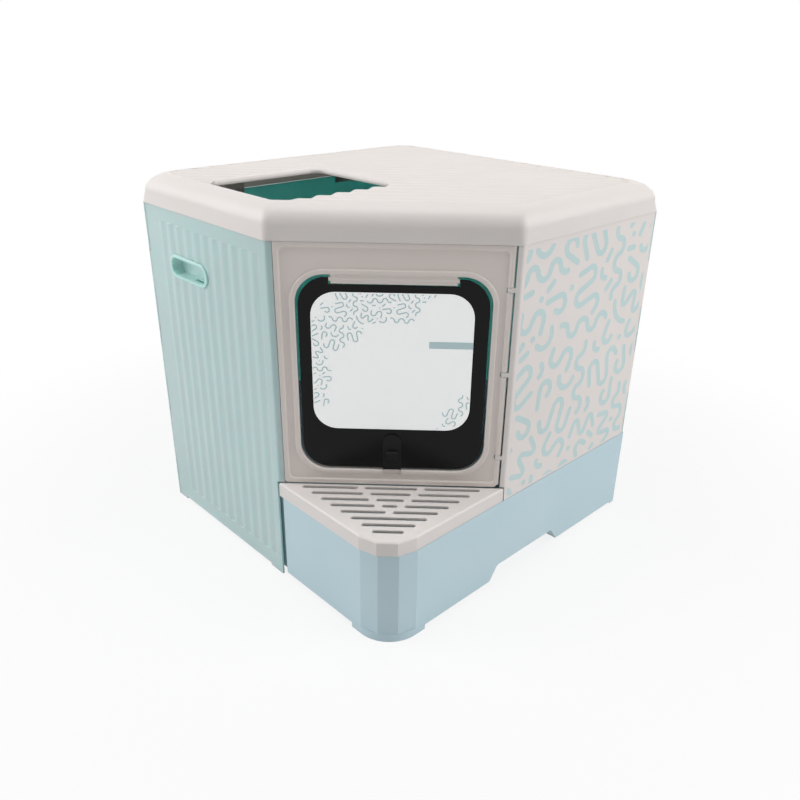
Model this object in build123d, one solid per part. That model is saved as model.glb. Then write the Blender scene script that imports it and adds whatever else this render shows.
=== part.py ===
import os
from math import cos, radians, sin, sqrt

from build123d import *

# Foldable corner litter box, in millimetres.
# +Z is up, the origin is on the floor under the middle of the plan, the tray pulls out along +X.
# The plan is a square with the +X -Y corner cut off by the diagonal front.

# Overall
side = 450.0
corner_cut = 188.0
lid_seat = 423.0
lid_height = 36.5
tray_rim = 117.0
step_height = 18.0

# Fits
seat_gap = 0.4
slide_gap = 0.6
pin_play = 0.06

# Walls
wall = 2.5
flute_pitch = 19.5
flute_swell = 0.45
flute_foot = 24.0
flute_head = 16.5
flute_margin = 37.2
flute_front_margin = 10.0
strip_width = 7.0
hinge_strip_width = 5.5
front_corner_round = 5.0
wall_setback = 3.0
wall_foot = 3.0
wall_foot_length = 24.0

# Corner hinges
hinge_radius = 3.5
pin_radius = 1.5
full_knuckles = 7
right_knuckles = 5
pin_floor = 2.0

# Handle cups
handle_length = 84.0
handle_height = 28.6
handle_from_corner = 101.0
handle_drop = 66.9
handle_rim = 1.6
handle_proud = 2.2
handle_depth = 14.0
handle_wall = 1.8
handle_rim_round = 1.3
drain_length = 25.0
drain_width = 5.0
drain_shift = 14.5

# Front panel
panel_gap = 1.2
panel_lift = 1.3
panel_depth = 7.0
panel_skin = 2.0
panel_recess = 2.2
panel_border = 6.0
panel_foot_radius = 3.0
door_side_border = 20.4
door_sill = 19.3
door_head = 34.2
door_radius = 32.0
door_bead = 6.0
door_rim = 2.5
bead_round = 1.8
tongue_inset = 38.6
tongue_drop = 9.5
tongue_depth = 4.0
boss_radius = 2.6
boss_length = 2.0
lug_low_inset = 39.0
lug_high_inset = 47.0
lug_length = 5.0
sill_notch = 5.0

# Flap
flap_thickness = 3.0
flap_side_gap = 3.0
flap_sill_gap = 2.5
flap_tongue_gap = 1.5
flap_head_gap = 3.4
flap_radius = 31.0
ear_gap = 0.8
stub_root = 2.0
stub_radius = 1.5
stub_length = 6.0

# Flap latch
latch_width = 21.0
latch_length = 45.7
latch_thickness = 1.5
latch_tip_gap = 0.8
latch_stroke = 4.0
latch_play = 0.1
knob_width = 13.0
knob_height = 12.0
knob_proud = 4.4
knob_rise = 20.0
stem_width = 5.6
stem_height = 8.0
retainer_width = 14.0
retainer_height = 18.0
retainer_thickness = 1.5

# Lid
lid_overhang = 1.0
lid_wall = 2.5
lid_edge_radius = 23.0
lid_draft = 1.3
lid_corner_radius = 7.0
spring_corner_radius = 13.0
top_corner_radius = 27.0
lid_border = 21.0
lid_recess = 2.5
rib_pitch = 18.75
rib_first = 12.4
rib_height = 2.5
rib_crest = 2.6
rib_foot = 13.0
recess_corner_radius = 26.0
hole_length = 143.2
hole_width = 164.4
hole_front_inset = 30.0
hole_from_corner = 1.5
hole_corner_radius = 14.0
lip_width = 8.0
lip_depth = 6.0
lip_round = 4.0
tab_length = 60.0
tab_place = 110.0
tab_thickness = 2.0
tab_drop = 10.0

# Tray
tray_wall = 2.5
tray_floor = 2.5
tray_foot = 3.5
tray_inset = 7.5
tray_front_inset = 2.0
tray_back_radius = 12.0
tray_edge = 2.5
front_plate = 3.5
corner_gap = 5.0
corner_radius = 44.0
corner_facets = 3
foot_band = 10.0
foot_reach = 15.0
pad_size = 36.0
pad_inset = 9.0
pull_low_width = 142.0
pull_high_width = 110.0
pull_height = 21.0
pull_depth = 22.0
pull_radius = 7.0
pull_y = 17.0

# Step
step_wall = 3.0
step_edge = 1.5
slot_first = 7.0
slot_pitch = 12.4
slot_width = 5.2
slot_margin = 21.8
slot_web = 7.4
middle_slot = 62.0
middle_shrink = 14.6
single_slot = 96.0
step_tab_length = 60.0
step_tab_drop = 8.0
step_tab_place = 110.0

half = side / 2
root2 = sqrt(2)
lid_top = lid_seat + lid_height
step_top = tray_rim + step_height
wall_top = lid_seat - seat_gap
wall_inside = flute_swell + wall
strip_low = step_top + 1.0
panel_low = step_top + panel_lift
wall_run = side - corner_cut
diagonal = corner_cut * root2
panel_half = (diagonal - strip_width - hinge_strip_width) / 2 - panel_gap
panel_shift = (strip_width - hinge_strip_width) / 2
axis_inset = half - hinge_radius
handle_x = handle_from_corner - half
handle_z = lid_seat - handle_drop
door_width = 2 * (panel_half - door_side_border)
door_low = panel_low + door_sill
door_high = wall_top - door_head
tongue_width = door_width - 2 * tongue_inset
lug_heights = (panel_low + lug_low_inset, (panel_low + wall_top) / 2, wall_top - lug_high_inset)
knob_z = door_low + knob_rise
big = 2 * side


def side_plane(middle, normal):
    # Local x runs along the side, local y is up, local z points out of the box.
    return Plane(origin=(*middle, 0), x_dir=(-normal[1], normal[0], 0), z_dir=(*normal, 0))


left_side = side_plane((-corner_cut / 2, -half), (0, -1))
left_back_side = side_plane((-half, 0), (-1, 0))
right_back_side = side_plane((0, half), (0, 1))
right_side = side_plane((half, corner_cut / 2), (1, 0))
diagonal_middle = (half - corner_cut / 2, corner_cut / 2 - half)
panel_middle = tuple(c + panel_shift / root2 for c in diagonal_middle)
front_side = side_plane(panel_middle, (1 / root2, -1 / root2))


def pentagon(inset):
    edge = half - inset
    cut_line = side - corner_cut - inset * root2
    return [(-edge, -edge), (cut_line - edge, -edge), (edge, edge - cut_line), (edge, edge), (-edge, edge)]


def rounded(points, radius):
    return make_face(FilletPolyline(*points, radius=radius, close=True))


def corner_rounded(points, corner):
    face = make_face(Polyline(*points, close=True))
    return fillet(face.vertices().sort_by_distance((*corner, 0))[0], front_corner_round)


def prism(points, low, high):
    face = make_face(Polyline(*points, close=True))
    return Pos(0, 0, low) * extrude(face, amount=high - low, dir=(0, 0, 1))


def raised(face, low, high):
    return Pos(0, 0, low) * extrude(face, amount=high - low, dir=(0, 0, 1))


def block(low, high):
    size = [b - a for a, b in zip(low, high)]
    return Pos(*low) * Box(*size, align=(Align.MIN, Align.MIN, Align.MIN))


def on_side(plane, shape):
    return plane.location * shape


def panel_block(plane, across, heights, depths):
    # Depths are measured into the box from the side's outer plane.
    low = (across[0], heights[0], -depths[1])
    high = (across[1], heights[1], -depths[0])
    return on_side(plane, block(low, high))


def upright(axis, radius, low, high):
    return Pos(*axis, low) * Cylinder(radius, high - low, align=(Align.CENTER, Align.CENTER, Align.MIN))


def spans(low, high, count, first):
    step = (high - low) / count
    picked = range(first, count, 2)
    return [(low + i * step + seat_gap / 2, low + (i + 1) * step - seat_gap / 2) for i in picked]


def knuckled(body, axis, own, partner, bore_low):
    # Cuts room for the partner's knuckles, adds the wall's own and bores them for the pin.
    for low, high in partner:
        body -= upright(axis, hinge_radius + slide_gap, low - seat_gap, high + seat_gap)
    for low, high in own:
        body += upright(axis, hinge_radius, low, high)
    return body - upright(axis, pin_radius + pin_play, bore_low, big)


def hinge_pin(axis, low, high):
    return upright(axis, pin_radius, low, high)


left_axis = (-axis_inset, -axis_inset)
back_axis = (-axis_inset, axis_inset)
right_axis = (axis_inset, axis_inset)
full_own = spans(0, wall_top, full_knuckles, 0)
full_partner = spans(0, wall_top, full_knuckles, 1)
right_low = tray_rim + slide_gap
right_own = spans(right_low, wall_top, right_knuckles, 0)
right_partner = spans(right_low, wall_top, right_knuckles, 1)
pin_top = wall_top - pin_floor


# Fluted walls: a flat sheet whose outer face swells in and out over the fluted field
def flute_field(plane, start, count):
    half_pitch = flute_pitch / 2
    depth = flute_swell
    edges = []
    for i in range(2 * count):
        a = start + i * half_pitch
        crown = depth - flute_swell if i % 2 == 0 else depth + flute_swell
        edges.append(ThreePointArc((a, -depth), (a + half_pitch / 2, -crown), (a + half_pitch, -depth)))
    end = start + count * flute_pitch
    floor = -wall_inside + wall / 4
    edges.append(Line((end, -depth), (end, floor)))
    edges.append(Line((end, floor), (start, floor)))
    edges.append(Line((start, floor), (start, -depth)))
    face = make_face(edges)
    field_height = wall_top - flute_head - flute_foot
    upward = Plane(origin=(0, flute_foot, 0), x_dir=(1, 0, 0), z_dir=(0, 1, 0))
    wave = extrude(upward.location * mirror(face, about=Plane.XZ), amount=field_height, dir=(0, 1, 0))
    return on_side(plane, wave)


def fluted(body, plane, run, end_margin):
    room = run - flute_margin - end_margin
    count = int(room / flute_pitch)
    start = flute_margin - run / 2 + (room - count * flute_pitch) / 2
    end = start + count * flute_pitch
    floor = wall_inside - wall / 4
    body -= panel_block(plane, (start, end), (flute_foot, wall_top - flute_head), (0, floor))
    return body + flute_field(plane, start, count)


def handle_hole(plane, across):
    size = (handle_length - 2 * handle_rim + 2 * slide_gap, handle_height - 2 * handle_rim + 2 * slide_gap)
    hole = extrude(Pos(across, handle_z) * SlotOverall(*size), amount=wall_inside * 2, both=True)
    return on_side(plane, hole)


def handle_cup(plane, across):
    place = Pos(across, handle_z)
    mouth_length = handle_length - 2 * handle_rim
    mouth_height = handle_height - 2 * handle_rim
    rim = extrude(place * SlotOverall(handle_length, handle_height), amount=handle_proud)
    rim = fillet(rim.faces().sort_by(Axis.Z)[-1].edges(), handle_rim_round)
    body = extrude(place * SlotOverall(mouth_length, mouth_height), amount=-handle_depth)
    hollow = SlotOverall(mouth_length - 2 * handle_wall, mouth_height - 2 * handle_wall)
    reach = handle_depth - handle_wall
    pocket = Pos(0, 0, -reach) * extrude(place * hollow, amount=reach + 2 * handle_proud)
    # The drain goes down through the middle of the cup's floor.
    below = (across + drain_shift, handle_z - mouth_height / 2 - 1, -handle_depth / 2)
    downward = Plane(origin=below, x_dir=(1, 0, 0), z_dir=(0, 1, 0))
    drain = extrude(downward.location * SlotOverall(drain_length, drain_width), amount=handle_wall + 2)
    cup = rim + body - pocket - drain
    return on_side(plane, Pos(0, 0, pin_play) * cup)


def relieved(body, plane, ends):
    # Lifts a wall's lower edge off the floor between a foot at each end.
    across = (ends[0] + wall_foot_length, ends[1] - wall_foot_length)
    middle = (across[0] + across[1]) / 2
    gap = Pos(middle, 0) * RectangleRounded(across[1] - across[0], 2 * wall_foot, wall_foot * 0.9)
    return body - on_side(plane, extrude(gap, amount=2 * wall_inside, both=True))


def make_left_wall():
    face_depth = flute_swell
    cut_line = side - corner_cut
    outer_y = -half + face_depth
    inner_y = -half + wall_inside
    start = left_axis[0]
    corner = (cut_line + outer_y, outer_y)
    reach = strip_width / root2
    tip = (corner[0] + reach, corner[1] + reach)
    inner_tip = (tip[0] - wall / root2, tip[1] + wall / root2)
    inner_corner = (cut_line - wall * root2 + inner_y, inner_y)
    upper = [(start, outer_y), corner, tip, inner_tip, inner_corner, (start, inner_y)]
    lower_end = half - corner_cut - wall_setback
    lower = [(start, outer_y), (lower_end, outer_y), (lower_end, inner_y), (start, inner_y)]
    body = prism(lower, 0, strip_low) + raised(corner_rounded(upper, corner), strip_low, wall_top)
    body = fluted(body, left_side, wall_run, flute_front_margin)
    body = relieved(body, left_side, (-wall_run / 2, lower_end - left_side.origin.X))
    body = knuckled(body, left_axis, full_partner, full_own, pin_floor)
    return body - handle_hole(left_side, handle_x - left_side.origin.X)


def make_left_back_wall():
    outer_x = -half + flute_swell
    inner_x = -half + wall_inside
    sheet = [(outer_x, -axis_inset), (inner_x, -axis_inset), (inner_x, axis_inset), (outer_x, axis_inset)]
    body = prism(sheet, 0, wall_top)
    body = fluted(body, left_back_side, side, flute_margin)
    body = relieved(body, left_back_side, (-half, half))
    body = knuckled(body, left_axis, full_own, full_partner, pin_floor)
    return knuckled(body, back_axis, full_own, full_partner, pin_floor)


def make_right_back_wall():
    outer_y = half - flute_swell
    inner_y = half - wall_inside
    lower_end = half - front_plate - slide_gap
    lower = [(-axis_inset, inner_y), (lower_end, inner_y), (lower_end, outer_y), (-axis_inset, outer_y)]
    upper = [(-axis_inset, inner_y), (axis_inset, inner_y), (axis_inset, outer_y), (-axis_inset, outer_y)]
    body = prism(lower, 0, right_low) + prism(upper, right_low, wall_top)
    body = fluted(body, right_back_side, side, flute_margin)
    body = relieved(body, right_back_side, (-lower_end, half))
    body = knuckled(body, back_axis, full_partner, full_own, pin_floor)
    body = knuckled(body, right_axis, right_own, right_partner, right_low + pin_floor)
    return body - handle_hole(right_back_side, -handle_x)


# The front panel turns about a pin inside its own rounded right edge
front_axis_across = panel_half - hinge_radius
front_axis = tuple(front_side.from_local_coords((front_axis_across, 0, -hinge_radius)))[:2]
front_pin_low = panel_low + panel_foot_radius + pin_floor
lug_spans = [(z - lug_length / 2, z + lug_length / 2) for z in lug_heights]


def make_right_wall():
    cut_line = side - corner_cut
    inner_x = half - wall
    reach = hinge_strip_width / root2
    corner = (half, half - cut_line)
    tip = (corner[0] - reach, corner[1] - reach)
    inner_tip = (tip[0] - wall / root2, tip[1] + wall / root2)
    inner_corner = (inner_x, inner_x - cut_line + wall * root2)
    end = right_axis[1]
    upper = [corner, (half, end), (inner_x, end), inner_corner, inner_tip, tip]
    lower_start = corner[1] + slide_gap
    lower = [(half, lower_start), (half, end), (inner_x, end), (inner_x, lower_start)]
    body = prism(lower, right_low, strip_low) + raised(corner_rounded(upper, corner), strip_low, wall_top)
    body = knuckled(body, right_axis, right_partner, right_own, right_low + pin_floor)
    for low, high in lug_spans:
        web = (front_axis_across, panel_half + panel_gap + wall)
        body += panel_block(front_side, web, (low, high), (0, wall))
        body += upright(front_axis, hinge_radius, low, high)
        body -= upright(front_axis, pin_radius + pin_play, low - 1, high + 1)
    return body


def door_face(grow):
    height = door_high - door_low + 2 * grow
    middle = (door_high + door_low) / 2
    return Pos(0, middle) * RectangleRounded(door_width + 2 * grow, height, door_radius + grow)


def sunk(face, deep, shallow):
    # A face on the side's plane, filled between two depths below that plane.
    return Pos(0, 0, -deep) * extrude(face, amount=deep - shallow)


flap_axis_z = door_high - tongue_drop / 2
flap_axis_depth = panel_depth / 2


def make_front_panel():
    middle = (panel_low + wall_top) / 2
    height = wall_top - panel_low
    left, right = -panel_half, front_axis_across
    width = right - left
    outline = Pos((left + right) / 2, middle) * Rectangle(width, height)
    body = sunk(outline, panel_depth, 0)
    foot_edges = body.edges().filter_by(Axis.Z).group_by(Axis.Y)[0]
    body = fillet(foot_edges, panel_foot_radius)
    barrel_height = height - panel_foot_radius
    barrel_middle = wall_top - barrel_height / 2
    border = panel_border
    recess = Pos(0, middle) * RectangleRounded(2 * (panel_half - border), height - 2 * border, border)
    body -= sunk(recess - door_face(door_bead), panel_recess, -1)
    body -= sunk(door_face(0), panel_depth + 1, -1)
    fronts = body.faces().group_by(Axis.Z)[-1].sort_by(SortBy.AREA)
    ridge = fronts[0].edges() + fronts[-1].inner_wires()[0].edges()
    body = fillet(ridge, bead_round)
    barrel = Rot(90, 0, 0) * Cylinder(hinge_radius, barrel_height)
    body += Pos(right, barrel_middle, -hinge_radius) * barrel
    back_width = width - 2 * wall - hinge_radius
    back = Pos((left + right - hinge_radius) / 2, middle) * Rectangle(back_width, height - 2 * wall)
    body -= sunk(back - door_face(door_rim), panel_depth + 1, panel_recess + panel_skin)
    tongue = Pos(0, door_high - tongue_drop / 2 + wall / 2) * Rectangle(tongue_width, tongue_drop + wall)
    tongue_deep = flap_axis_depth + tongue_depth / 2
    body += sunk(tongue, tongue_deep, tongue_deep - tongue_depth)
    axle = Pos(0, flap_axis_z, -flap_axis_depth) * Rot(0, 90, 0)
    core_width = tongue_width - 2 * (stub_length + 1)
    core = Pos(0, flap_axis_z, -flap_axis_depth) * Box(core_width, tongue_drop, tongue_depth)
    body += axle * Cylinder(boss_radius, tongue_width + 2 * boss_length) - core
    body -= axle * Cylinder(stub_radius + pin_play, tongue_width + 2 * boss_length + 1) - core
    notch = Pos(0, door_low - sill_notch / 2) * Rectangle(latch_width + 2 * slide_gap, sill_notch + 1)
    notch_deep = flap_axis_depth - flap_thickness / 2 + slide_gap
    body -= sunk(notch, notch_deep, -1)
    body = on_side(front_side, body)
    for low, high in lug_spans:
        room = (front_axis_across - hinge_radius - slide_gap, big)
        body -= panel_block(front_side, room, (low - seat_gap, high + seat_gap), (-1, panel_depth + 1))
    return body - upright(front_axis, pin_radius + pin_play, front_pin_low, big)


def make_flap():
    flap_width = door_width - 2 * flap_side_gap
    low = door_low + flap_sill_gap
    high = door_high - flap_head_gap
    back = flap_axis_depth + flap_thickness / 2
    front = flap_axis_depth - flap_thickness / 2
    plate = Pos(0, (low + high) / 2) * RectangleRounded(flap_width, high - low, flap_radius)
    ear_inner = tongue_width / 2 + boss_length + ear_gap
    gap_low = door_high - tongue_drop - flap_tongue_gap
    gap = Pos(0, (gap_low + high + 1) / 2) * Rectangle(2 * ear_inner, high + 1 - gap_low)
    body = sunk(plate - gap, back, front)
    reach = stub_length + boss_length + ear_gap + stub_root
    for way in (-1, 1):
        stub = Rot(0, 90, 0) * Cylinder(stub_radius, reach)
        stub_middle = way * (ear_inner + stub_root - reach / 2)
        body += Pos(stub_middle, flap_axis_z, -flap_axis_depth) * stub
    slot_height = stem_height + latch_stroke + 2 * slide_gap
    slot = Pos(0, knob_z - latch_stroke / 2) * Rectangle(stem_width + 2 * slide_gap, slot_height)
    body -= sunk(slot, back + 1, front - 1)
    return on_side(front_side, body)


latch_back = flap_axis_depth - flap_thickness / 2 - latch_play
latch_front = latch_back - latch_thickness
flap_back = flap_axis_depth + flap_thickness / 2 + latch_play


def make_flap_latch():
    low = door_low + latch_tip_gap
    high = low + latch_length
    straight_length = latch_length - latch_width / 2
    straight = Pos(0, low + straight_length / 2) * Rectangle(latch_width, straight_length)
    arch = Pos(0, high - latch_width / 2) * Circle(latch_width / 2)
    body = sunk(straight + arch, latch_back, latch_front)
    knob_face = Pos(0, knob_z) * RectangleRounded(knob_width, knob_height, knob_height / 4)
    knob = extrude(knob_face, amount=knob_proud)
    knob = fillet(knob.faces().sort_by(Axis.Z)[-1].edges(), knob_proud / 3)
    body += Pos(0, 0, -latch_front) * knob
    stem = Pos(0, knob_z) * Rectangle(stem_width, stem_height)
    body += sunk(stem, flap_back + retainer_thickness, latch_front)
    return on_side(front_side, body)


def make_latch_retainer():
    plate = Pos(0, knob_z) * RectangleRounded(retainer_width, retainer_height, stem_width / 2)
    eye = Pos(0, knob_z) * Rectangle(stem_width, stem_height)
    return on_side(front_side, sunk(plate - eye, flap_back + retainer_thickness, flap_back))


# Lid: a skirt whose top edge turns in over a quarter round, hollow underneath
def domed(inset, low, top, radius):
    spring = top - radius
    drafted = inset + lid_draft
    foot = Pos(0, 0, low) * rounded(pentagon(inset), lid_corner_radius)
    sections = []
    for i in range(5):
        turn = radians(22.5 * i)
        level = spring + radius * sin(turn)
        share = 1 - cos(turn)
        corner = spring_corner_radius + (top_corner_radius - spring_corner_radius) * share
        sections.append(Pos(0, 0, level) * rounded(pentagon(drafted + radius * share), corner))
    return loft([foot, sections[0]], ruled=True) + loft(sections)


def hole_face(grow):
    front_x = half - corner_cut - hole_from_corner + grow
    back_x = front_x - hole_length - 2 * grow
    left_y = lid_border - half - grow
    right_y = left_y + hole_width + 2 * grow
    cut_line = side - corner_cut - hole_front_inset * root2 + grow * root2
    points = [
        (back_x, left_y),
        (cut_line + left_y, left_y),
        (front_x, front_x - cut_line),
        (front_x, right_y),
        (back_x, right_y),
    ]
    return rounded(points, hole_corner_radius)


def make_ribs(floor):
    # Ribs run parallel to the diagonal front, so their profile lies across it.
    across = Plane(origin=(0, 0, 0), x_dir=(-1 / root2, 1 / root2, 0), z_dir=(1 / root2, 1 / root2, 0))
    front = -(side - corner_cut) / root2 + lid_border
    count = int((half * root2 - front - rib_first) / rib_pitch) + 1
    points = [(front, floor - lid_wall / 2)]
    for i in range(count):
        middle = front + rib_first + i * rib_pitch
        points += [(middle - rib_foot / 2, floor), (middle - rib_crest / 2, floor + rib_height)]
        points += [(middle + rib_crest / 2, floor + rib_height), (middle + rib_foot / 2, floor)]
    points.append((half * root2 + rib_foot, floor - lid_wall / 2))
    profile = make_face(Polyline(*points, close=True))
    return extrude(across.location * profile, amount=side, both=True)


def make_land():
    # A land edges the hole's two far sides, level with the ribs.
    land = raised(hole_face(lip_width) - hole_face(0), lid_top - lip_depth, lid_top)
    edge_x = half - corner_cut - hole_from_corner - hole_corner_radius
    edge_y = lid_border - half + hole_corner_radius
    return land & block((-half, edge_y, 0), (edge_x, half, big))


def make_lip(land):
    top_edges = land.faces().sort_by(Axis.Z)[-1].edges()
    rounding = [e for e in top_edges if on_hole(e @ 0.5)]
    return fillet(rounding, lip_round)


def on_hole(point):
    edge = hole_face(0).wires()[0]
    return edge.distance_to(Vector(point.X, point.Y, 0)) < seat_gap


def make_lid():
    floor = lid_top - lid_recess
    outer = domed(-lid_overhang, lid_seat, lid_top, lid_edge_radius)
    ceiling = floor - lid_wall
    inner_radius = lid_edge_radius - lid_wall - lid_recess / 2
    inner = domed(lid_wall - lid_overhang, lid_seat - 1, ceiling, inner_radius)
    field = raised(rounded(pentagon(lid_border), recess_corner_radius), floor - lid_wall / 2, big)
    recess = raised(rounded(pentagon(lid_border), recess_corner_radius), floor, big)
    body = outer - inner - recess
    body += make_ribs(floor) & field
    body -= raised(hole_face(0), ceiling - 1, big)
    land = make_land()
    body -= land
    body += make_lip(land)
    # Two tabs hook behind the top edge of the left back wall.
    near = wall_inside + slide_gap
    far = near + tab_thickness
    for way in (-1, 1):
        across = (way * tab_place - tab_length / 2, way * tab_place + tab_length / 2)
        body += panel_block(left_back_side, across, (lid_seat - tab_drop, lid_seat), (near, far))
        root = (lid_wall / 2 - lid_overhang + lid_draft, far)
        body += panel_block(left_back_side, across, (lid_seat, lid_seat + tab_drop), root)
    return body


def faceted_corner(edge):
    # Points round the front corner on flats between two sides that lie at this distance from the middle.
    turn = 90 / corner_facets
    centre = (half - corner_radius, corner_radius - edge)
    angles = [radians(-90 + turn * i) for i in range(corner_facets + 1)]
    return [(centre[0] + corner_radius * cos(a), centre[1] + corner_radius * sin(a)) for a in angles]


def make_tray():
    inside = half - tray_inset
    front_y = half - tray_front_inset
    jog_x = half - corner_cut + corner_gap
    outline = [(-inside, -inside), (jog_x, -inside), (jog_x, -front_y)]
    outline += faceted_corner(front_y) + [(half, inside), (-inside, inside)]
    face = make_face(Polyline(*outline, close=True))
    rear = face.vertices().filter_by(lambda v: v.X < -inside + 1)
    face = fillet(rear, tray_back_radius)
    body = raised(face, tray_foot, tray_rim)
    body = chamfer(body.faces().sort_by(Axis.Z)[0].edges(), tray_edge)
    band_low = (half - corner_radius - foot_reach, -front_y)
    band_high = (half, corner_radius + foot_reach - front_y)
    size = band_high[0] - band_low[0]
    foot = Pos((band_low[0] + half) / 2, (band_high[1] - front_y) / 2) * Rectangle(size, size)
    nose = foot.vertices().sort_by(Axis.X)[-2:].sort_by(Axis.Y)[0]
    body += raised(fillet(nose, corner_radius), 0, foot_band)
    body += block((half - front_plate, inside - 1, tray_foot), (half, half, tray_rim))
    pad_low = pad_inset - inside
    pad_high = inside - pad_inset - pad_size
    pads = [(pad_low, pad_low), (pad_low, pad_high), (half - pad_inset - pad_size, pad_high)]
    for x, y in pads:
        body += block((x, y, 0), (x + pad_size, y + pad_size, tray_foot + 1))
    arch = pull_arch(0)
    cavity_floor = tray_foot + tray_floor
    cavity = raised(offset(face, -tray_wall), cavity_floor, big)
    cavity -= pull_arch(tray_wall)
    return body - cavity - arch


def pull_arch(grow):
    low = tray_foot - grow - 1
    high = tray_foot + pull_height + grow
    wide = pull_low_width / 2 + grow
    narrow = pull_high_width / 2 + grow
    points = [(-wide, low), (wide, low), (narrow, high), (-narrow, high)]
    face = make_face(Polyline(*points, close=True))
    upper = face.vertices().sort_by(Axis.Y)[-2:]
    face = fillet(upper, pull_radius)
    front = Plane(origin=(half + 1, pull_y, 0), x_dir=(0, 1, 0), z_dir=(1, 0, 0))
    return extrude(front.location * face, amount=-(pull_depth + grow + 1))


def make_step():
    start = side - corner_cut + slide_gap * root2 - half
    outline = [(start, -half)] + faceted_corner(half) + [(half, -start)]
    face = make_face(Polyline(*outline, close=True))
    low = tray_rim + seat_gap / 2
    body = raised(face, low, step_top)
    front_edges = body.faces().sort_by(Axis.Z)[-1].edges().sort_by(SortBy.LENGTH)[:-1]
    body = chamfer(front_edges, step_edge)
    body -= raised(offset(face, -step_wall), low - 1, step_top - step_wall)
    plan = Plane(origin=(*diagonal_middle, 0), x_dir=front_side.x_dir, z_dir=(0, 0, 1))
    slot_rows = int((diagonal / 2 - slot_margin - slot_first - 2 * slot_width) / slot_pitch) + 1
    for row in range(slot_rows):
        reach = slot_first + row * slot_pitch
        outer = diagonal / 2 - reach - slot_margin
        middle = max(middle_slot / 2 - row * middle_shrink / 2, 0)
        lengths = slot_row(outer, middle)
        for a, b in lengths:
            slot = Pos((a + b) / 2, -reach) * SlotOverall(b - a, slot_width)
            body -= raised(plan.location * slot, tray_rim, big)
    near = half - tray_front_inset - tray_wall - slide_gap
    far = near - tab_thickness
    first = step_tab_place - step_tab_length / 2
    last = first + step_tab_length
    skirt = half - step_wall
    body += block((first, -near, low - step_tab_drop), (last, -far, low + step_tab_drop))
    body += block((first, -skirt - 1, low), (last, -far, low + step_tab_drop))
    near_x = half - tray_wall - slide_gap
    far_x = near_x - tab_thickness
    body += block((far_x, -last, low - step_tab_drop), (near_x, -first, low + step_tab_drop))
    body += block((far_x, -last, low), (skirt + 1, -first, low + step_tab_drop))
    return body


def slot_row(outer, middle):
    # A row is one slot, two about a web, or two outer slots and a shorter middle one.
    if 2 * outer < single_slot:
        return [(-outer, outer)]
    if middle < slot_width / 2:
        return [(-outer, -slot_web / 2), (slot_web / 2, outer)]
    return [(-outer, -middle - slot_web), (-middle, middle), (middle + slot_web, outer)]


nodes = {
    "left_back_wall": make_left_back_wall(),
    "right_back_wall": make_right_back_wall(),
    "left_wall": make_left_wall(),
    "right_wall": make_right_wall(),
    "left_handle_cup": handle_cup(left_side, handle_x - left_side.origin.X),
    "right_handle_cup": handle_cup(right_back_side, -handle_x),
    "left_hinge_pin": hinge_pin(left_axis, pin_floor, pin_top),
    "back_hinge_pin": hinge_pin(back_axis, pin_floor, pin_top),
    "right_hinge_pin": hinge_pin(right_axis, right_low + pin_floor, pin_top),
    "front_hinge_pin": hinge_pin(front_axis, front_pin_low, pin_top),
    "front_panel": make_front_panel(),
    "flap": make_flap(),
    "flap_latch": make_flap_latch(),
    "latch_retainer": make_latch_retainer(),
    "lid": make_lid(),
    "tray": make_tray(),
    "step_grid": make_step(),
}

os.makedirs("parts", exist_ok=True)
for name, shape in nodes.items():
    export_step(shape, f"parts/{name}.step")
    print(name, len(shape.solids()), round(shape.volume))
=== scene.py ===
import math

import bmesh
import bpy
from mathutils import Matrix, Vector


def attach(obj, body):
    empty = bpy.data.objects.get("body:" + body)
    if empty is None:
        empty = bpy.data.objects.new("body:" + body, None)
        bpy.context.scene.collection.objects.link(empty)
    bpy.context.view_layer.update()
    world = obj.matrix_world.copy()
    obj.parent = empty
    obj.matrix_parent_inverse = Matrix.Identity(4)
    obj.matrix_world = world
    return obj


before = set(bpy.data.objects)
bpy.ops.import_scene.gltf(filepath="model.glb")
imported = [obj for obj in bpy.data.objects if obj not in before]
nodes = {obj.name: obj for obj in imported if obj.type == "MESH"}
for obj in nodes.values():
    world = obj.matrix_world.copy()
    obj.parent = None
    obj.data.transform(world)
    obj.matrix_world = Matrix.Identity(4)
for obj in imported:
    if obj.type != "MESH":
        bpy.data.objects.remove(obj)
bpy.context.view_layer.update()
mm = 0.001
print("frame loaded:", len(nodes), "nodes")

scene = bpy.context.scene
scene.view_settings.view_transform = "Standard"


def linear(hexColour):
    # sRGB hex to the linear values that sockets take
    parts = [int(hexColour[i:i + 2], 16) / 255 for i in (1, 3, 5)]
    return tuple(c / 12.92 if c <= 0.04045 else ((c + 0.055) / 1.055) ** 2.4 for c in parts) + (1.0,)


def add(tree, kind, values=None, links=None, **settings):
    node = tree.nodes.new(kind)
    for name, value in settings.items():
        setattr(node, name, value)
    for name, value in (values or {}).items():
        node.inputs[name].default_value = value
    for name, socket in (links or {}).items():
        tree.links.new(socket, node.inputs[name])
    return node


def startMaterial(name):
    material = bpy.data.materials.new(name)
    material.use_nodes = True
    tree = material.node_tree
    tree.nodes.clear()
    return material, tree


# Injection-moulded polypropylene: satin, with a fine spark-eroded grain and slow changes of tone where
# the melt cooled. The grain is drawn at 1.1 mm, about three times its real size, so that it shows.
# Thin walls pass some light on: glowThrough is its share, glowTint its colour and glowMm its reach.
plasticSet = {"cloudMm": 140, "detail": 2.0, "spread": (0.3, 0.7), "roughLess": 0.04, "roughMore": 0.05,
              "bump": 0.35, "edgeSamples": 4, "ior": 1.49}


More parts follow.
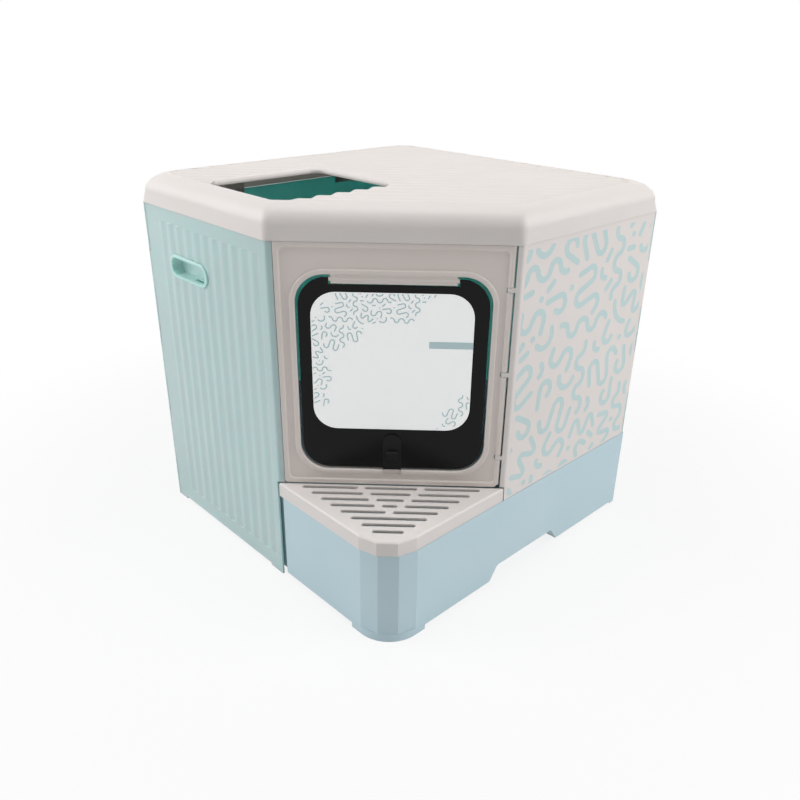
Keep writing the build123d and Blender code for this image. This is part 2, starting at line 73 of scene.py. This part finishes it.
# paintedGlow sets an emission in the plastic's own colour: painted light, a glow that comes from no lamp
def mouldedPlastic(name, colour, tone, roughness, grainMm=1.1, grainDepth=0.05, edgeMm=0.8, gloss=0.5,
                   glowThrough=0.0, glowTint=(0.4, 1.0, 0.85), glowMm=8, paintedGlow=0.0):
    material, tree = startMaterial(name)
    low, high = plasticSet["spread"]
    detail = plasticSet["detail"]
    coords = add(tree, "ShaderNodeTexCoord").outputs["Object"]
    cloud = add(tree, "ShaderNodeTexNoise", {"Scale": 1 / (plasticSet["cloudMm"] * mm), "Detail": detail},
                {"Vector": coords})
    grain = add(tree, "ShaderNodeTexNoise", {"Scale": 1 / (grainMm * mm), "Detail": detail}, {"Vector": coords})
    ramp = add(tree, "ShaderNodeValToRGB", links={"Fac": cloud.outputs["Fac"]})
    for stop, place, shade in zip(ramp.color_ramp.elements, (low, high), (tone, colour)):
        stop.position = place
        stop.color = linear(shade)
    rough = add(tree, "ShaderNodeMapRange",
                {"From Min": low, "From Max": high, "To Min": roughness - plasticSet["roughLess"],
                 "To Max": roughness + plasticSet["roughMore"]}, {"Value": grain.outputs["Fac"]})
    edge = add(tree, "ShaderNodeBevel", {"Radius": edgeMm * mm}, samples=plasticSet["edgeSamples"])
    bump = add(tree, "ShaderNodeBump", {"Strength": plasticSet["bump"], "Distance": grainDepth * mm},
               {"Height": grain.outputs["Fac"], "Normal": edge.outputs["Normal"]})
    shader = add(tree, "ShaderNodeBsdfPrincipled",
                 {"IOR": plasticSet["ior"], "Specular IOR Level": gloss, "Emission Color": linear(colour),
                  "Emission Strength": paintedGlow, "Subsurface Weight": glowThrough,
                  "Subsurface Radius": glowTint, "Subsurface Scale": glowMm * mm},
                 {"Base Color": ramp.outputs["Color"], "Roughness": rough.outputs["Result"],
                  "Normal": bump.outputs["Normal"]})
    add(tree, "ShaderNodeOutputMaterial", links={"Surface": shader.outputs["BSDF"]})
    return material


# Each finish: its colour, the slightly darker tone beside it, and its roughness
offWhite = mouldedPlastic("moulded polypropylene off-white", "#ebe4e0", "#e8e1dc", 0.42, glowThrough=0.4,
                          glowTint=(0.9, 0.88, 0.8))
printWhite = mouldedPlastic("moulded polypropylene printed side", "#e8e2df", "#e5dfdb", 0.40)
# The front panel's white is the off-white made a little warmer and darker: painted warm shade for the diagonal
# front in half shade
frontShadeWhite = mouldedPlastic("moulded polypropylene off-white, painted warm shade", "#eae1dc", "#e6ddd7", 0.42)
mint = mouldedPlastic("moulded polypropylene mint", "#c5dfdd", "#c0dbd9", 0.45, glowThrough=0.7)
# The thin cups pass light on from inside the wall; they also get a brighter copy of the mint and a low glow of
# their own, painted light inside the cups
litCupMint = mouldedPlastic("moulded polypropylene mint, painted cup light", "#bde5de", "#b9e2db", 0.45, glowThrough=1.0,
                         glowTint=(0.6, 1.0, 0.92), glowMm=9, paintedGlow=0.07)
paleBlue = mouldedPlastic("moulded polypropylene pale blue", "#c5dce4", "#c0d8e1", 0.40)
# Smoked acrylic: near black, smooth, with weak highlights
smoked = mouldedPlastic("smoked acrylic sheet", "#121213", "#0f0f10", 0.16, grainMm=4.0, grainDepth=0.01,
                        gloss=0.15)
darkTrim = mouldedPlastic("moulded polypropylene black", "#141415", "#111112", 0.32, gloss=0.2)
# Acetal: drawn rod, plain and a little waxy
rodPlastic = mouldedPlastic("acetal rod", "#d8d6d2", "#d2d0cc", 0.35)

finishes = {
    "left_back_wall": mint, "right_back_wall": mint, "left_wall": mint,
    "left_handle_cup": litCupMint, "right_handle_cup": litCupMint,
    "right_wall": printWhite, "front_panel": frontShadeWhite, "lid": offWhite, "step_grid": offWhite,
    "tray": paleBlue, "flap": smoked, "flap_latch": darkTrim, "latch_retainer": darkTrim,
    "left_hinge_pin": rodPlastic, "back_hinge_pin": rodPlastic,
    "right_hinge_pin": rodPlastic, "front_hinge_pin": rodPlastic,
}
for name, material in finishes.items():
    for slot in nodes[name].material_slots:
        slot.material = material
print("materials set")


def newPiece(bm, name, material, body):
    bmesh.ops.recalc_face_normals(bm, faces=bm.faces)
    mesh = bpy.data.meshes.new(name)
    bm.to_mesh(mesh)
    bm.free()
    mesh.materials.append(material)
    piece = bpy.data.objects.new(name, mesh)
    scene.collection.objects.link(piece)
    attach(piece, body)


# Strokes: arcStep in degrees, mergeMm closes the seams of the sweep
strokeSet = {"arcStep": 18, "leastSteps": 3, "endSteps": 8, "mergeMm": 0.01}


def roundEnd(bm, halfEdge, centre, turn):
    bmesh.ops.spin(bm, geom=[halfEdge], cent=centre, axis=(0, 0, 1), angle=math.radians(turn),
                   steps=strokeSet["endSteps"])


def edgesOf(geom):
    return [g for g in geom if isinstance(g, bmesh.types.BMEdge)]


def vertsOf(geom):
    return [g for g in geom if isinstance(g, bmesh.types.BMVert)]


# One brush stroke on the flat: a cross edge swept through arcs and straights, with round ends
def stroke(steps, width):
    bm = bmesh.new()
    spine = [bm.verts.new((0, side * width / 2, 0)) for side in (-1, 0, 1)]
    cross = [bm.edges.new(spine[i:i + 2]) for i in (0, 1)]
    roundEnd(bm, cross[0], spine[1].co.copy(), -180)
    place, heading = Vector((0, 0, 0)), 0.0
    for radius, turn in steps:
        ahead = Vector((math.cos(heading), math.sin(heading), 0))
        if radius is None:
            # A straight: turn holds its length
            swept = bmesh.ops.extrude_edge_only(bm, edges=cross)["geom"]
            bmesh.ops.translate(bm, verts=vertsOf(swept), vec=ahead * turn)
            place = place + ahead * turn
            cross = edgesOf(swept)
            continue
        leftward = Vector((-ahead.y, ahead.x, 0)) * math.copysign(1, turn)
        centre = place + leftward * radius
        count = max(strokeSet["leastSteps"], round(abs(turn) / strokeSet["arcStep"]))
        swept = bmesh.ops.spin(bm, geom=cross, cent=centre, axis=(0, 0, 1), angle=math.radians(turn),
                               steps=count)["geom_last"]
        cross = edgesOf(swept)
        place = centre + Matrix.Rotation(math.radians(turn), 3, "Z") @ (place - centre)
        heading += math.radians(turn)
    ahead = Vector((math.cos(heading), math.sin(heading), 0))
    rightHalf = max(cross, key=lambda e: sum((v.co - place).cross(ahead).z for v in e.verts))
    roundEnd(bm, rightHalf, place, 180)
    bmesh.ops.remove_doubles(bm, verts=bm.verts, dist=strokeSet["mergeMm"] * mm)
    return bm


def thicken(bm, thickness):
    top = bmesh.ops.extrude_face_region(bm, geom=bm.faces[:])["geom"]
    bmesh.ops.translate(bm, verts=vertsOf(top), vec=(0, 0, thickness * mm))


# Strokes of the print at one scale, repeated over tiles and trimmed to the field; keep picks by place
def scatter(spec, keep):
    whole = bmesh.new()
    scale, width = spec["scale"], spec["width"] * mm
    wide, tall = (side * scale for side in printSet["period"])
    for tileX in spec["tilesX"]:
        for tileY in spec["tilesY"]:
            for kind, x, y, turn in printSet["places"]:
                middle = Vector((spec["corner"][0] + tileX * wide + x * scale,
                                 spec["corner"][1] + tileY * tall + y * scale, 0))
                if not keep(middle.x, middle.y):
                    continue
                steps = [(None, t * scale * mm) if r is None else (r * scale * mm, t) for r, t in motifs[kind]]
                bm = stroke(steps, width)
                bmesh.ops.rotate(bm, verts=bm.verts, matrix=Matrix.Rotation(math.radians(turn), 3, "Z"))
                low = Vector([min(v.co[i] for v in bm.verts) for i in range(3)])
                high = Vector([max(v.co[i] for v in bm.verts) for i in range(3)])
                bmesh.ops.translate(bm, verts=bm.verts, vec=middle * mm - (low + high) / 2)
                part = bpy.data.meshes.new("motif")
                bm.to_mesh(part)
                bm.free()
                whole.from_mesh(part)
                bpy.data.meshes.remove(part)
    for axis, (low, high) in enumerate(spec["field"]):
        for limit, way in ((low, -1), (high, 1)):
            normal = Vector((0, 0, 0))
            normal[axis] = way
            at = Vector((0, 0, 0))
            at[axis] = limit * mm
            geom = whole.verts[:] + whole.edges[:] + whole.faces[:]
            bmesh.ops.bisect_plane(whole, geom=geom, plane_co=at, plane_no=normal, clear_outer=True)
    thicken(whole, spec["thick"])
    return whole


# Motifs: lists of arcs (radius, degrees) and straights (None, length), in millimetres at scale 1
motifs = {
    "meander": [(None, 20), (9, -175), (None, 24), (9, 175), (None, 24), (9, -150), (None, 8)],
    "ripple": [(11, 150), (9, -165), (11, 165), (9, -165), (11, 100)],
    "snake": [(None, 14), (10, 165), (None, 10), (10, -165), (None, 8)],
    "zigzag": [(None, 16), (5, -135), (None, 16), (5, 135), (None, 16), (5, -135), (None, 16)],
    "curl": [(None, 22), (10, -235)],
    "arc": [(15, 165)],
    "hook": [(None, 16), (9, 185)],
    "bow": [(32, 80)],
    "comma": [(9, 110)],
    "bar": [(None, 12)],
    "dot": [(None, 1)],
}

# Print: motif, x, y and turn in degrees; the layout repeats without strokes touching
printSet = {
    "period": (244, 296),
    "places": [
        ("meander", 82, 77, 250), ("ripple", 125, 116, 25), ("zigzag", 26, 42, 300), ("curl", 19, 87, 330),
        ("meander", 176, 116, 100), ("ripple", 232, 35, 40), ("zigzag", 198, 22, 355),
        ("curl", 192, 78, 270), ("meander", 3, 141, 210), ("ripple", 30, 267, 295),
        ("zigzag", 226, 197, 220), ("curl", 82, 282, 150), ("snake", 19, 211, 75),
        ("meander", 130, 293, 115), ("ripple", 122, 187, 110), ("curl", 217, 237, 330),
        ("zigzag", 146, 45, 65), ("snake", 82, 153, 65), ("meander", 122, 228, 15), ("curl", 218, 116, 285),
        ("ripple", 180, 255, 205), ("curl", 55, 117, 85), ("curl", 61, 225, 10), ("hook", 178, 164, 245),
        ("arc", 32, 295, 300), ("snake", 86, 38, 235), ("bow", 198, 186, 270), ("arc", 45, 188, 310),
        ("arc", 97, 122, 260), ("comma", 58, 23, 260), ("bar", 159, 264, 55), ("comma", 151, 243, 255),
        ("bar", 225, 285, 240), ("comma", 155, 151, 255), ("bar", 9, 247, 190), ("comma", 151, 74, 30),
        ("comma", 44, 150, 25), ("bar", 206, 265, 0), ("bar", 165, 227, 45), ("bar", 167, 25, 320),
        ("comma", 241, 69, 225), ("bar", 48, 249, 220), ("bar", 10, 176, 205), ("dot", 207, 150, 0),
        ("dot", 23, 193, 0), ("dot", 32, 237, 0), ("dot", 207, 282, 0), ("dot", 216, 30, 0),
        ("dot", 120, 21, 0), ("dot", 88, 239, 0), ("dot", 31, 7, 0),
    ],
}

# Film on the right wall: pale blue strokes about 7 mm wide, trimmed at the film's edges
filmSet = {
    "scale": 1.0, "width": 7.2, "thick": 0.08, "corner": (-31, 121),
    "tilesX": (-1, 0, 1), "tilesY": (-1, 0, 1), "field": ((-31, 213), (121, 417)),
    "overhang": 45, "wallX": 225.02,
}


def onFilm(x, y):
    over = filmSet["overhang"]
    return all(low - over < at < high + over for at, (low, high) in zip((x, y), filmSet["field"]))


def makeFilm():
    bm = scatter(filmSet, onFilm)
    # The flat's x runs along +Y and its y runs up
    turn = Matrix(((0, 0, 1), (1, 0, 0), (0, 1, 0)))
    bmesh.ops.rotate(bm, verts=bm.verts, matrix=turn)
    bmesh.ops.translate(bm, verts=bm.verts, vec=(filmSet["wallX"] * mm, 0, 0))
    newPiece(bm, "wall_film", filmInk, "right_leaf")


# Label on the flap: white film with rounded corners, a corner pattern and one plain bar, placed from the
# middle of the diagonal front; bar holds left, right, low and high
labelSet = {"width": 175.2, "low": 208.4, "high": 369.6, "radius": 27.0, "cornerSteps": 10, "thick": 0.12,
            "flapFront": -1.98, "shift": -1.3, "frontMiddle": 131, "frontShift": 0.75,
            "bar": (40.0, 87.5, 308.0, 316.0), "ink": 0.05}
labelPattern = {
    "scale": 0.27, "width": 1.5, "thick": 0.05, "corner": (-88, 209),
    "tilesX": (0, 1, 2), "tilesY": (0, 1, 2), "field": ((-86.6, 86.6), (209.4, 368.6)), "cornerRoom": 7,
    "upper": {"low": 335, "rightFrom": 12, "rise": 1.06, "leftFrom": -15, "fall": 0.59},
    "lower": {"low": 210, "from": 41, "rise": 1.05}, "leftEdge": -68,
}
slant = math.sqrt(0.5)  # the front stands at 45 degrees


def ontoFlap(bm, depth):
    # The flat's x runs along the diagonal, its y runs up, its z points out of the front
    frontTurn = Matrix(((slant, 0, slant), (slant, 0, -slant), (0, 1, 0)))
    bmesh.ops.translate(bm, verts=bm.verts, vec=(labelSet["shift"] * mm, 0, 0))
    bmesh.ops.rotate(bm, verts=bm.verts, matrix=frontTurn)
    along = labelSet["frontShift"] * slant
    middle = Vector((labelSet["frontMiddle"] + along, -labelSet["frontMiddle"] + along, 0)) * mm
    bmesh.ops.translate(bm, verts=bm.verts, vec=middle + Vector((slant, -slant, 0)) * depth * mm)


def makeLabel():
    bm = bmesh.new()
    bmesh.ops.create_grid(bm, x_segments=1, y_segments=1, size=0.5)
    height = labelSet["high"] - labelSet["low"]
    bmesh.ops.scale(bm, verts=bm.verts, vec=(labelSet["width"] * mm, height * mm, 1))
    bmesh.ops.translate(bm, verts=bm.verts, vec=(0, (labelSet["low"] + height / 2) * mm, 0))
    bmesh.ops.bevel(bm, geom=bm.verts[:], offset=labelSet["radius"] * mm, offset_type="OFFSET",
                    affect="VERTICES", segments=labelSet["cornerSteps"], profile=0.5, material=-1)
    thicken(bm, labelSet["thick"])
    ontoFlap(bm, labelSet["flapFront"])
    newPiece(bm, "flap_label", labelWhite, "door_flap")


def onLabel(x, z):
    # Strokes fill the upper left of the label, its left edge and its lower right corner
    middleZ = (labelSet["low"] + labelSet["high"]) / 2
    acrossX = abs(x) - (labelSet["width"] / 2 - labelSet["radius"])
    acrossZ = abs(z - middleZ) - ((labelSet["high"] - labelSet["low"]) / 2 - labelSet["radius"])
    reach = labelSet["radius"] - labelPattern["cornerRoom"]
    cornered = min(acrossX, acrossZ) > 0 and math.hypot(acrossX, acrossZ) > reach
    up, down = labelPattern["upper"], labelPattern["lower"]
    rightward, leftward = max(0, x - up["rightFrom"]), max(0, up["leftFrom"] - x)
    upper = z > up["low"] + rightward * up["rise"] - leftward * up["fall"]
    lower = z < down["low"] + (x - down["from"]) * down["rise"]
    return (upper or lower or x < labelPattern["leftEdge"]) and not cornered


def makeLabelPattern():
    bm = scatter(labelPattern, onLabel)
    ontoFlap(bm, labelSet["flapFront"] + labelSet["thick"])
    newPiece(bm, "label_pattern", labelInk, "door_flap")


def makeLabelBar():
    x0, x1, z0, z1 = labelSet["bar"]
    bm = bmesh.new()
    bmesh.ops.create_cube(bm, size=1.0)
    bmesh.ops.scale(bm, verts=bm.verts, vec=((x1 - x0) * mm, (z1 - z0) * mm, labelSet["ink"] * mm))
    middle = Vector(((x0 + x1) / 2, (z0 + z1) / 2, labelSet["ink"] / 2)) * mm
    bmesh.ops.translate(bm, verts=bm.verts, vec=middle)
    ontoFlap(bm, labelSet["flapFront"] + labelSet["thick"])
    newPiece(bm, "label_bar", labelInk, "door_flap")


# Screen ink: flat and even, with a faint mottle in place of the plastic's grain
inkGrain = {"grainMm": 3.0, "grainDepth": 0.01, "edgeMm": 0.05}
filmInk = mouldedPlastic("screen ink pale blue", "#c6dcdd", "#c1d8d9", 0.38, **inkGrain)
# The label's paper and ink glow a little of their own: painted light that keeps them pale in the front's half
# shade, so the paper looks whiter than the plastic beside it
labelWhite = mouldedPlastic("coated label paper", "#f6f8f8", "#f3f5f5", 0.30, paintedGlow=0.26, **inkGrain)
labelInk = mouldedPlastic("label ink grey-blue", "#bcd3d6", "#b7cfd2", 0.32, paintedGlow=0.12, **inkGrain)
makeFilm()
makeLabel()
makeLabelPattern()
makeLabelBar()
print("film and label made")

# Floor: pale, keeps a soft contact shadow, and turns to plain white away from the object; size in metres
floorSet = {"size": 14.0, "colour": "#ececec", "glowNear": 0.84, "nearMm": 420, "farMm": 900}


def makeFloor():
    bm = bmesh.new()
    bmesh.ops.create_grid(bm, x_segments=1, y_segments=1, size=floorSet["size"] / 2)
    mesh = bpy.data.meshes.new("floor")
    bm.to_mesh(mesh)
    bm.free()
    floor = bpy.data.objects.new("floor", mesh)
    scene.collection.objects.link(floor)
    material, tree = startMaterial("pale studio floor")
    coords = add(tree, "ShaderNodeTexCoord").outputs["Object"]
    reach = add(tree, "ShaderNodeVectorMath", links={0: coords}, operation="LENGTH")
    fade = add(tree, "ShaderNodeMapRange",
               {"From Min": floorSet["nearMm"] * mm, "From Max": floorSet["farMm"] * mm,
                "To Min": floorSet["glowNear"], "To Max": 1.0},
               {"Value": reach.outputs["Value"]}, interpolation_type="SMOOTHSTEP")
    path = add(tree, "ShaderNodeLightPath")
    rays = {0: path.outputs["Is Camera Ray"], 1: path.outputs["Is Glossy Ray"]}
    seen = add(tree, "ShaderNodeMath", links=rays, operation="MAXIMUM")
    share = add(tree, "ShaderNodeMath", links={0: seen.outputs[0], 1: fade.outputs["Result"]},
                operation="MULTIPLY")
    matte = add(tree, "ShaderNodeBsdfDiffuse", {"Color": linear(floorSet["colour"])})
    glow = add(tree, "ShaderNodeEmission", {"Color": (1, 1, 1, 1), "Strength": 1.0})
    mix = add(tree, "ShaderNodeMixShader", links={0: share.outputs[0], 1: matte.outputs[0], 2: glow.outputs[0]})
    add(tree, "ShaderNodeOutputMaterial", links={"Surface": mix.outputs[0]})
    mesh.materials.append(material)


# World: weak even light for the object, plain white where the camera or a reflection sees it
worldSet = {"ambient": 0.20, "backdrop": 1.0}


def makeWorld():
    world = bpy.data.worlds.new("studio")
    scene.world = world
    world.use_nodes = True
    tree = world.node_tree
    tree.nodes.clear()
    path = add(tree, "ShaderNodeLightPath")
    rays = {0: path.outputs["Is Camera Ray"], 1: path.outputs["Is Glossy Ray"]}
    seen = add(tree, "ShaderNodeMath", links=rays, operation="MAXIMUM")
    soft = add(tree, "ShaderNodeBackground", {"Color": (1, 1, 1, 1), "Strength": worldSet["ambient"]})
    white = add(tree, "ShaderNodeBackground", {"Color": (1, 1, 1, 1), "Strength": worldSet["backdrop"]})
    mix = add(tree, "ShaderNodeMixShader", links={0: seen.outputs[0], 1: soft.outputs[0], 2: white.outputs[0]})
    add(tree, "ShaderNodeOutputWorld", links={"Surface": mix.outputs[0]})


# Lamps: a soft box far round to each side, so the diagonal front lies in half shade, and one above;
# places and sizes in metres, power in watts
lampAim = Vector((0, 0, 0.2))
lampSet = {
    "leftBox": {"place": (-1.35, -1.65, 1.15), "size": 1.4, "power": 27},
    "rightBox": {"place": (1.75, 1.15, 1.15), "size": 1.4, "power": 24},
    "topBox": {"place": (0.1, -0.1, 2.4), "size": 1.5, "power": 19.5},
}


def makeLamps():
    for name, spec in lampSet.items():
        data = bpy.data.lights.new(name, "AREA")
        data.shape = "SQUARE"
        data.size = spec["size"]
        data.energy = spec["power"]
        lamp = bpy.data.objects.new(name, data)
        lamp.location = spec["place"]
        lamp.rotation_euler = (lampAim - lamp.location).to_track_quat("-Z", "Y").to_euler()
        scene.collection.objects.link(lamp)


# Camera: fitted to the straight edges of walls, tray and lid
viewSet = {"azimuth": 46.063, "elevation": 25.476, "roll": 0.893, "distanceMm": 1074.15,
           "targetMm": (-0.536, 8.179, 155.346), "focalPixels": 773.186, "imagePixels": 800,
           "sensorMm": 36.0, "nearest": 0.01}


def makeCamera():
    az, el, roll = (math.radians(viewSet[k]) for k in ("azimuth", "elevation", "roll"))
    back = Vector((math.sin(az) * math.cos(el), -math.cos(az) * math.cos(el), math.sin(el)))
    right = (-back).cross(Vector((0, 0, 1))).normalized()
    up = right.cross(-back)
    tilted = right * math.cos(roll) + up * math.sin(roll)
    upright = up * math.cos(roll) - right * math.sin(roll)
    eye = (Vector(viewSet["targetMm"]) + back * viewSet["distanceMm"]) * mm
    data = bpy.data.cameras.new("camera")
    data.sensor_width = viewSet["sensorMm"]
    data.sensor_fit = "HORIZONTAL"
    data.lens = viewSet["sensorMm"] * viewSet["focalPixels"] / viewSet["imagePixels"]
    data.clip_start = viewSet["nearest"]
    camera = bpy.data.objects.new("camera", data)
    turn = Matrix((tilted, upright, back)).transposed().to_4x4()
    camera.matrix_world = Matrix.Translation(eye) @ turn
    scene.collection.objects.link(camera)
    scene.camera = camera


makeFloor()
makeWorld()
makeLamps()
makeCamera()
print("stage set")
